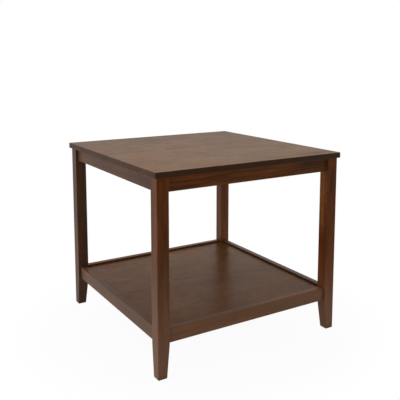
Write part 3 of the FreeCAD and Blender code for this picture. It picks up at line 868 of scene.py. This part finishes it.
def turned_group():
    """Turns a row of (radius, 0, height) points about Z into a closed solid."""
    nodes, given = new_group(
        "Turned Solid", ("Profile", "Count", "Segments"), ("Mesh",), "GeometryNodeTree")
    grid = nodes.add("GeometryNodeMeshGrid", {
        "Size X": 1.0, "Size Y": 1.0,
        "Vertices X": given["Count"], "Vertices Y": given["Segments"] + 1.0,
    })[0]
    position = nodes.add("GeometryNodeInputPosition")[0]
    across, round_about, zero = nodes.separate(position)
    sample = nodes.add("GeometryNodeSampleIndex", {
        "Geometry": given["Profile"], "Value": position,
        "Index": nodes.math("ROUND", (across + 0.5) * (given["Count"] - 1.0)),
    }, data_type="FLOAT_VECTOR", domain="POINT")[0]
    radius, zero, height = nodes.separate(sample)
    turn = (round_about + 0.5) * math.tau
    cosine, sine = nodes.math("COSINE", turn), nodes.math("SINE", turn)
    moved = nodes.add("GeometryNodeSetPosition", {
        "Geometry": grid, "Position": nodes.combine(radius * cosine, radius * sine, height),
    })[0]
    merged = nodes.add("GeometryNodeMergeByDistance", {"Geometry": moved, "Distance": TINY})[0]
    close_group(nodes, {"Mesh": merged})


def turned(nodes, points, segments=24):
    """Place the turned solid for a list of (radius, height) values or outputs."""
    line = nodes.add("GeometryNodeMeshLine", {"Count": len(points)})[0]
    choose = nodes.add("GeometryNodeIndexSwitch", data_type="VECTOR")
    while len(choose.node.index_switch_items) < len(points):
        choose.node.index_switch_items.new()
    nodes.put(choose.node.inputs["Index"], nodes.add("GeometryNodeInputIndex")[0])
    for number, (radius, height) in enumerate(points, 1):
        nodes.put(choose.node.inputs[number], nodes.combine(radius, 0.0, height))
    profile = nodes.add("GeometryNodeSetPosition", {"Geometry": line, "Position": choose[0]})[0]
    return nodes.add("GeometryNodeGroup", {
        "Profile": profile, "Count": len(points), "Segments": segments,
    }, node_tree=bpy.data.node_groups["Turned Solid"])[0]


def lifted(nodes, solid, height):
    """A solid moved up."""
    return nodes.add("GeometryNodeTransform", {
        "Geometry": solid, "Translation": nodes.combine(0.0, 0.0, height),
    })[0]


def helix_ridge(nodes, start, end, start_radius, end_radius, pitch, depth):
    """The ridge of a thread between two heights, on a root with the given radii."""
    height = end - start
    spiral = nodes.add("GeometryNodeCurveSpiral", {
        "Resolution": 14, "Rotations": height / pitch,
        "Start Radius": start_radius, "End Radius": end_radius, "Height": height,
    })[0]
    section = nodes.add("GeometryNodeCurvePrimitiveCircle", {"Resolution": 4, "Radius": depth})[0]
    ridge = nodes.add("GeometryNodeCurveToMesh", {
        "Curve": spiral, "Profile Curve": section, "Fill Caps": True,
    })[0]
    return lifted(nodes, ridge, start)


def boolean(nodes, operation, tools, body=None):
    """What is left of a body after some tools cut it, or what the tools have in common."""
    made = nodes.add("GeometryNodeMeshBoolean", operation=operation, solver="EXACT")
    if body:
        nodes.put(made.node.inputs["Mesh 1"], body)
    for tool in tools:
        nodes.put(made.node.inputs["Mesh 2"], tool)
    return made["Mesh"]


def cross_recess(nodes, solid, width, depth):
    """Cut a cross-shaped driver recess into a head whose face lies at height 0."""
    arm = width * 0.28
    blocks = [
        nodes.add("GeometryNodeMeshCube", {"Size": nodes.combine(*size, depth * 2.0)})[0]
        for size in ((width, arm), (arm, width))
    ]
    return boolean(nodes, "DIFFERENCE", blocks, solid)


def spread(nodes, given, *solids):
    """Set the solids on every point, turned the way that the point says, as one real mesh."""
    join = nodes.add("GeometryNodeJoinGeometry")
    for solid in solids:
        nodes.put(join.node.inputs[0], solid)
    flat = nodes.add("GeometryNodeSetShadeSmooth", {"Geometry": join[0], "Shade Smooth": False})[0]
    kept = nodes.add("GeometryNodeStoreNamedAttribute", {
        "Geometry": flat, "Name": "along", "Value": nodes.add("GeometryNodeInputPosition")[0],
    }, data_type="FLOAT_VECTOR", domain="POINT")[0]
    way = nodes.add("GeometryNodeInputNamedAttribute", {"Name": "way"}, data_type="FLOAT_VECTOR")[0]
    copies = nodes.add("GeometryNodeInstanceOnPoints", {
        "Points": given["Points"], "Instance": kept,
        "Rotation": nodes.add("FunctionNodeAlignRotationToVector", {"Vector": way}, axis="Z")[0],
    })[0]
    real = nodes.add("GeometryNodeRealizeInstances", {"Geometry": copies})[0]
    close_group(nodes, {"Mesh": nodes.add("GeometryNodeSetMaterial", {
        "Geometry": real, "Material": given["Material"],
    })[0]})


def fastener_group(name, *sizes):
    """A group that sets a fastener on points, with its sizes as named inputs."""
    nodes, given = new_group(name, ("Points", *sizes, "Material"), ("Mesh",), "GeometryNodeTree")
    return nodes, given, [given[size] for size in sizes]


def screw_group(name, outline, seat, smooth, recess):
    """Wood screw with its head's face on the point.

    The outline holds shares of the head's radius and height. The thread starts a smooth share of
    the length past the seat, which lies a share of the head's height in. The recess is a share of
    the head's height deep.
    """
    nodes, given, sizes = fastener_group(
        name, "Length", "Shank", "Head", "Head Height", "Tip", "Pitch", "Thread Depth", "Recess")
    length, shank, head, head_height, tip, pitch, thread_depth, recess_width = sizes
    radius = shank * 0.5
    root = radius - thread_depth
    smooth_end = length * smooth + head_height * seat
    tip_start = length - tip
    body = turned(nodes, [
        (0.0, 0.0),
        *((head * 0.5 * out, head_height * up) for out, up in outline),
        (radius, head_height),
        (radius, smooth_end),
        (root, smooth_end + thread_depth),
        (root, tip_start),
        (0.0, length),
    ])
    body = cross_recess(nodes, body, recess_width, head_height * recess)
    thread_end = tip_start + tip * 0.4
    thread_root = root * 0.7
    thread = helix_ridge(nodes, smooth_end, thread_end, root, thread_root, pitch, thread_depth)
    spread(nodes, given, body, thread)


def pan_screw_group():
    """Pan head wood screw, whose head stands on the wood."""
    screw_group("Pan Head Screw", PAN_HEAD, seat=1.0, smooth=0.3, recess=0.7)


def flush_screw_group():
    """Countersunk wood screw, whose head lies flush."""
    screw_group("Countersunk Screw", FLUSH_HEAD, seat=0.0, smooth=0.36, recess=0.8)


def hanger_bolt_group():
    """Headless bolt: a coarse wood thread, a plain middle and a fine machine thread."""
    nodes, given, sizes = fastener_group(
        "Hanger Bolt", "Length", "Diameter", "Tip", "Wood Length", "Machine Length", "Wood Pitch",
        "Machine Pitch", "Thread Depth")
    length, diameter, tip, wood_length, machine_length, wood_pitch, machine_pitch, depth = sizes
    radius = diameter * 0.5
    root = radius - depth
    machine_start = length - machine_length
    end = length - depth
    body = turned(nodes, [
        (0.0, 0.0),
        (root, tip),
        (root, wood_length),
        (radius, wood_length + depth),
        (radius, machine_start - depth),
        (root, machine_start),
        (root, end),
        (root - depth, length),
        (0.0, length),
    ])
    wood_start = tip * 0.6
    wood_root = root * 0.8
    machine_depth = depth * 0.9
    wood = helix_ridge(nodes, wood_start, wood_length, wood_root, root, wood_pitch, depth)
    machine = helix_ridge(
        nodes, machine_start, end - depth, root, root, machine_pitch, machine_depth)
    spread(nodes, given, body, wood, machine)


def washer_group():
    """Stamped washer: one rounded edge and one sharp one."""
    nodes, given, sizes = fastener_group("Stamped Washer", "Diameter", "Hole", "Thickness")
    diameter, hole, thick = sizes
    outer = diameter * 0.5
    inner = hole * 0.5
    ease = thick * 0.25
    low = thick - ease
    spread(nodes, given, turned(nodes, [
        (inner, ease), (inner + ease, 0.0), (outer, 0.0), (outer, low - ease),
        (outer - ease * 0.3, low), (outer - ease, thick), (inner, thick), (inner, ease),
    ], segments=48))


def nut_group():
    """Hexagon nut with both faces chamfered and a plain bore, countersunk at both ends."""
    nodes, given, sizes = fastener_group("Hexagon Nut", "Across Flats", "Thickness", "Hole")
    across_flats, thick, hole = sizes
    corner = across_flats / (2 * math.cos(math.pi / 6))
    hexagon = nodes.add("GeometryNodeMeshCylinder", {
        "Vertices": 6, "Radius": corner, "Depth": thick,
    })[0]
    flat = across_flats * 0.48
    rim = thick * 0.16
    beyond = corner * 1.02
    lens = turned(nodes, [
        (0.0, 0.0), (flat, 0.0), (beyond, rim), (beyond, thick - rim), (flat, thick), (0.0, thick),
    ], segments=48)
    shaped = boolean(nodes, "INTERSECT", (lifted(nodes, hexagon, thick * 0.5), lens))
    bore = hole * 0.5
    mouth = bore * 1.12
    sink = mouth - bore
    over = thick + rim
    below = rim * -1.0
    drill = turned(nodes, [
        (0.0, below), (mouth, below), (mouth, 0.0), (bore, sink),
        (bore, thick - sink), (mouth, thick), (mouth, over), (0.0, over),
    ], segments=32)
    spread(nodes, given, boolean(nodes, "DIFFERENCE", (drill,), shaped))


def dowel_group():
    """Fluted dowel with chamfered ends."""
    nodes, given, sizes = fastener_group(
        "Fluted Dowel", "Length", "Diameter", "Chamfer", "Flutes", "Flute Depth")
    length, diameter, chamfer, flutes, flute_depth = sizes
    radius = diameter * 0.5
    narrow = radius - chamfer
    body = turned(nodes, [
        (0.0, 0.0), (narrow, 0.0), (radius, chamfer), (radius, length - chamfer),
        (narrow, length), (0.0, length),
    ], segments=72)
    x, y, z = nodes.separate(nodes.add("GeometryNodeInputPosition")[0])
    level = nodes.combine(x, y, 0.0)
    groove = nodes.ramp(nodes.math("COSINE", nodes.math("ARCTAN2", y, x) * flutes), 0.2, 1.0)
    out = nodes.vector("LENGTH", level)
    shrink = groove * flute_depth / nodes.larger(out, TINY) * -1.0
    spread(nodes, given, nodes.add("GeometryNodeSetPosition", {
        "Geometry": body,
        "Selection": nodes.math("GREATER_THAN", out, radius * 0.98),
        "Offset": level * nodes.combine(shrink, shrink, 0.0),
    })[0])


# --- Fasteners set where the frame has them ---

def solids_of(node_name):
    """The separate solids of a CAD node, each as a list of its points."""
    mesh = bmesh.new()
    mesh.from_mesh(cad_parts[node_name].data)
    bmesh.ops.remove_doubles(mesh, verts=mesh.verts, dist=TINY)
    left = set(mesh.verts)
    solids = []
    while left:
        found = [left.pop()]
        for vertex in found:
            for edge in vertex.link_edges:
                other = edge.other_vert(vertex)
                if other in left:
                    left.discard(other)
                    found.append(other)
        solids.append([vertex.co.copy() for vertex in found])
    mesh.free()
    return sorted(solids, key=lambda points: tuple(round(value, 4) for value in box_of(points)[0]))


def box_of(points):
    """Middle and size of the box round some points."""
    low = Vector(min(point[axis] for point in points) for axis in range(3))
    high = Vector(max(point[axis] for point in points) for axis in range(3))
    return (low + high) / 2, high - low


def upwards(middle, size):
    """Straight up."""
    return Vector((0, 0, 1))


def longest_way(middle, size):
    """The axis that a solid is longest along, pointing away from the table's middle."""
    axis = max(range(3), key=lambda number: size[number])
    way = Vector((0, 0, 0))
    way[axis] = math.copysign(1, middle[axis])
    return way


def inwards(middle, size):
    """From a corner of the table level towards its middle."""
    return Vector((-math.copysign(1, middle.x), -math.copysign(1, middle.y), 0)).normalized()


def measure(node_name, way_of):
    """Start, way in and length of every solid in a CAD node."""
    found = []
    for points in solids_of(node_name):
        middle, size = box_of(points)
        way = way_of(middle, size)
        along = [(point - middle).dot(way) for point in points]
        found.append((middle + way * min(along), way, max(along) - min(along)))
    return found


def points_mesh(name, places):
    """A mesh of bare points that carries the way each fastener goes in, and its number."""
    mesh = bpy.data.meshes.new(name)
    mesh.from_pydata([start for start, way, long in places], [], [])
    ways = [component for start, way, long in places for component in way]
    mesh.attributes.new("way", "FLOAT_VECTOR", "POINT").data.foreach_set("vector", ways)
    numbers = [float(number) for number in range(len(places))]
    mesh.attributes.new("number", "FLOAT", "POINT").data.foreach_set("value", numbers)
    return mesh


def set_fasteners(piece_name, node_name, group_name, way_of, sizes, material):
    """Run a fastener group over the places of a CAD node, and let the result stand for it."""
    places = measure(node_name, way_of)
    carrier = new_object(piece_name, points_mesh(piece_name + "_places", places))
    modifier = carrier.modifiers.new("Fasteners", "NODES")
    modifier.node_group = bpy.data.node_groups[group_name]
    values = {"Length": places[0][2], "Material": material, **sizes}
    for item in modifier.node_group.interface.items_tree:
        if item.in_out == "INPUT" and item.name in values:
            modifier[item.identifier] = values[item.name]
    graph = bpy.context.evaluated_depsgraph_get()
    made = bpy.data.meshes.new_from_object(carrier.evaluated_get(graph))
    made.name = piece_name
    carrier.modifiers.remove(modifier)
    carrier.data = made
    point_outwards(made)
    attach(carrier, BODY)
    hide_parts(node_name)


def point_outwards(mesh):
    """Turn every face of a closed mesh outwards."""
    work = bmesh.new()
    work.from_mesh(mesh)
    bmesh.ops.recalc_face_normals(work, faces=work.faces)
    work.to_mesh(mesh)
    work.free()


# --- Operators ---

class TABLE_OT_shared_nodes(bpy.types.Operator):
    """Build the node groups that the finishes and the fasteners share"""

    bl_idname = "table.shared_nodes"
    bl_label = "Build Shared Nodes"

    def execute(self, context):
        for make in (staves_group, solid_wood_group, edge_wear_group, stain_group, mark_group,
                     lacquer_group, turned_group, pan_screw_group, flush_screw_group,
                     hanger_bolt_group, washer_group, nut_group, dowel_group):
            make()
        return {"FINISHED"}


class TABLE_OT_top(bpy.types.Operator):
    """Finish the top: glued walnut-stained staves under satin lacquer"""

    bl_idname = "table.top"
    bl_label = "Finish Top"

    def execute(self, context):
        stain = context.scene.table_stain
        finish_board("table_top", "X", (stain.top_dark, stain.top_light),
                     (stain.top_roughness, stain.panel_lacquer), FIRST_NUMBER["table_top"],
                     **TOP_GRAIN)
        return {"FINISHED"}


class TABLE_OT_legs(bpy.types.Operator):
    """Finish the four legs, with their grain upright"""

    bl_idname = "table.legs"
    bl_label = "Finish Legs"

    def execute(self, context):
        stain = context.scene.table_stain
        finish_boards("leg", CORNERS, (stain.leg_dark, stain.leg_light),
                      (stain.leg_roughness, stain.frame_lacquer), LEG_GRAIN)
        return {"FINISHED"}


class TABLE_OT_aprons(bpy.types.Operator):
    """Finish the four aprons under the top"""

    bl_idname = "table.aprons"
    bl_label = "Finish Aprons"

    def execute(self, context):
        stain = context.scene.table_stain
        finish_boards("apron", SIDES, (stain.rail_dark, stain.rail_light),
                      (stain.leg_roughness, stain.frame_lacquer), RAIL_GRAIN)
        return {"FINISHED"}


class TABLE_OT_shelf(bpy.types.Operator):
    """Finish the shelf panel: glued staves under a glossier coat"""

    bl_idname = "table.shelf"
    bl_label = "Finish Shelf Panel"

    def execute(self, context):
        stain = context.scene.table_stain
        finish_board("shelf_panel", "X", (stain.shelf_dark, stain.shelf_light),
                     (stain.shelf_roughness, stain.shelf_lacquer), FIRST_NUMBER["shelf_panel"],
                     edges_in_painted_shade=True, **SHELF_GRAIN)
        return {"FINISHED"}


class TABLE_OT_rails(bpy.types.Operator):
    """Finish the four rails round the shelf"""

    bl_idname = "table.rails"
    bl_label = "Finish Shelf Rails"

    def execute(self, context):
        stain = context.scene.table_stain
        finish_boards("shelf_rail", SIDES, (stain.rail_dark, stain.rail_light),
                      (stain.leg_roughness, stain.frame_lacquer), RAIL_GRAIN)
        return {"FINISHED"}


class TABLE_OT_inner_wood(bpy.types.Operator):
    """Finish the cleats and the corner blocks, thinly stained pine"""

    bl_idname = "table.inner_wood"
    bl_label = "Finish Cleats and Blocks"

    def execute(self, context):
        stain = context.scene.table_stain
        for piece, places in (("shelf_cleat", SIDES), ("corner_block", CORNERS)):
            finish_boards(piece, places, (stain.inner_dark, stain.inner_light), INNER_COAT,
                          INNER_GRAIN)
        return {"FINISHED"}


class TABLE_OT_glides(bpy.types.Operator):
    """Finish the four nylon glides under the feet"""

    bl_idname = "table.glides"
    bl_label = "Finish Glides"

    def execute(self, context):
        nylon = nylon_material()
        for corner in CORNERS:
            give_material(f"foot_glide_{corner}", nylon)
        return {"FINISHED"}


class TABLE_OT_wood_screws(bpy.types.Operator):
    """Set the wood screws of the corner blocks, the top, the cleats and the shelf"""

    bl_idname = "table.wood_screws"
    bl_label = "Set Wood Screws"

    def execute(self, context):
        hardware = context.scene.table_hardware
        rows = (
            ("corner_block_screws", "block_screws", "Pan Head Screw", longest_way, PAN_SCREW),
            ("table_top_screws", "top_screws", "Pan Head Screw", upwards, PAN_SCREW),
            ("cleat_rail_screws", "cleat_screws", "Countersunk Screw", longest_way, FLUSH_SCREW),
            ("shelf_panel_screws", "shelf_screws", "Countersunk Screw", upwards, FLUSH_SCREW),
        )
        for piece, node, group, way_of, screw in rows:
            sizes = {
                **screw, "Tip": SCREW_TIP, "Pitch": hardware.wood_pitch,
                "Thread Depth": hardware.thread_depth, "Recess": screw["Head"] * RECESS_OF_HEAD,
            }
            set_fasteners(piece, node, group, way_of, sizes, zinc_material())
        return {"FINISHED"}


class TABLE_OT_hanger_hardware(bpy.types.Operator):
    """Set the hanger bolts with their washers and nuts"""

    bl_idname = "table.hanger_hardware"
    bl_label = "Set Hanger Bolts"

    def execute(self, context):
        hardware = context.scene.table_hardware
        bolt = {
            **HANGER_BOLT, "Wood Pitch": hardware.bolt_wood_pitch,
            "Machine Pitch": hardware.bolt_pitch, "Thread Depth": hardware.thread_depth,
        }
        rows = (
            ("leg_hanger_bolts", "hanger_bolts", "Hanger Bolt", bolt),
            ("hanger_bolt_washers", "hanger_washers", "Stamped Washer", WASHER),
            ("hanger_bolt_nuts", "hanger_nuts", "Hexagon Nut", NUT),
        )
        for piece, node, group, sizes in rows:
            set_fasteners(piece, node, group, inwards, sizes, zinc_material())
        return {"FINISHED"}


class TABLE_OT_dowels(bpy.types.Operator):
    """Set the fluted dowels of the aprons and the shelf rails"""

    bl_idname = "table.dowels"
    bl_label = "Set Dowels"

    def execute(self, context):
        hardware = context.scene.table_hardware
        beech = dowel_material()
        sizes = {**DOWEL, "Flutes": float(hardware.flutes), "Flute Depth": hardware.flute_depth}
        for piece, node in (("apron_fluted_dowels", "apron_dowels"),
                            ("rail_fluted_dowels", "shelf_rail_dowels")):
            set_fasteners(piece, node, "Fluted Dowel", longest_way, sizes, beech)
        return {"FINISHED"}


def seen_directly(nodes):
    """One for what the camera sees, also in a reflection or through glass."""
    path = nodes.add("ShaderNodeLightPath")
    seen = nodes.larger(path["Is Camera Ray"], path["Is Glossy Ray"])
    return nodes.larger(seen, path["Is Transmission Ray"])


def add_lamp(name, power, size, place, aim):
    """A square soft box that faces a point."""
    light = bpy.data.lights.new(name, "AREA")
    light.energy = power
    light.size = size
    lamp = new_object(name, light)
    lamp.location = place
    lamp.rotation_euler = (Vector(aim) - Vector(place)).to_track_quat("-Z", "Y").to_euler()
    lamp.visible_glossy = False
    lamp.visible_camera = False


class TABLE_OT_stage(bpy.types.Operator):
    """Lay the pale floor, light the room softly and set the camera"""

    bl_idname = "table.stage"
    bl_label = "Build Stage"

    def execute(self, context):
        stage = context.scene.table_stage
        self.lay_floor(stage)
        self.light_room(context, stage)
        self.set_camera(context, stage)
        return {"FINISHED"}

    def lay_floor(self, stage):
        mesh = bpy.data.meshes.new("floor")
        work = bmesh.new()
        bmesh.ops.create_circle(work, cap_ends=True, segments=96, radius=stage.floor_radius)
        work.to_mesh(mesh)
        work.free()
        floor = new_object("floor", mesh)
        material = bpy.data.materials.new("pale_floor")
        nodes = fresh_nodes(material)
        away = nodes.vector("LENGTH", nodes.add("ShaderNodeTexCoord")["Object"])
        beside = nodes.ramp(away, *SHADOW_REACH, SHADOW_WHITE, 1.0)
        mixed = nodes.add("ShaderNodeMixShader", {
            0: seen_directly(nodes) * beside,
            1: nodes.add("ShaderNodeBsdfDiffuse", {"Color": FLOOR_COLOUR})[0],
            2: nodes.add("ShaderNodeEmission", {"Color": WHITE, "Strength": 1.0})[0],
        })[0]
        nodes.add("ShaderNodeOutputMaterial", {"Surface": mixed})
        mesh.materials.append(material)

    def light_room(self, context, stage):
        world = bpy.data.worlds.new("room")
        context.scene.world = world
        nodes = fresh_nodes(world)
        strength = nodes.add("ShaderNodeMapRange", {
            "Value": seen_directly(nodes), "To Min": stage.sky, "To Max": 1.0,
        })[0]
        room = nodes.add("ShaderNodeBackground", {"Color": WHITE, "Strength": strength})[0]
        nodes.add("ShaderNodeOutputWorld", {"Surface": room})
        for name, (setting, size, place, aim) in LAMPS.items():
            add_lamp(name, getattr(stage, setting), size, place, aim)

    def set_camera(self, context, stage):
        data = bpy.data.cameras.new("camera")
        data.lens = stage.lens
        data.shift_y = stage.shift
        camera = new_object("camera", data)
        camera.location = CAMERA_PLACE
        forward = Vector((
            math.sin(stage.turn) * math.cos(stage.tilt),
            math.cos(stage.turn) * math.cos(stage.tilt),
            -math.sin(stage.tilt),
        ))
        camera.rotation_euler = forward.to_track_quat("-Z", "Y").to_euler()
        context.scene.camera = camera
        context.scene.view_settings.view_transform = "Standard"


OPERATORS = (
    TABLE_OT_shared_nodes, TABLE_OT_top, TABLE_OT_legs, TABLE_OT_aprons, TABLE_OT_shelf,
    TABLE_OT_rails, TABLE_OT_inner_wood, TABLE_OT_glides, TABLE_OT_wood_screws,
    TABLE_OT_hanger_hardware, TABLE_OT_dowels, TABLE_OT_stage,
)


class TABLE_PT_panel(bpy.types.Panel):
    """Everything that builds and finishes the table"""

    bl_idname = "TABLE_PT_panel"
    bl_label = "End Table"
    bl_space_type = "VIEW_3D"
    bl_region_type = "UI"
    bl_category = "End Table"

    def draw(self, context):
        layout = self.layout
        for operator in OPERATORS:
            layout.operator(operator.bl_idname)
        for name, settings in SETTINGS.items():
            box = layout.box()
            for key in settings.__annotations__:
                box.prop(getattr(context.scene, name), key)


CLASSES = (*SETTINGS.values(), *OPERATORS, TABLE_PT_panel)


def register():
    for entry in CLASSES:
        bpy.utils.register_class(entry)
    for name, settings in SETTINGS.items():
        setattr(bpy.types.Scene, name, PointerProperty(type=settings))


def unregister():
    for name in SETTINGS:
        delattr(bpy.types.Scene, name)
    for entry in reversed(CLASSES):
        bpy.utils.unregister_class(entry)


def main():
    register()
    for operator in OPERATORS:
        group, name = operator.bl_idname.split(".")
        getattr(getattr(bpy.ops, group), name)()


if __name__ == "__main__":
    main()
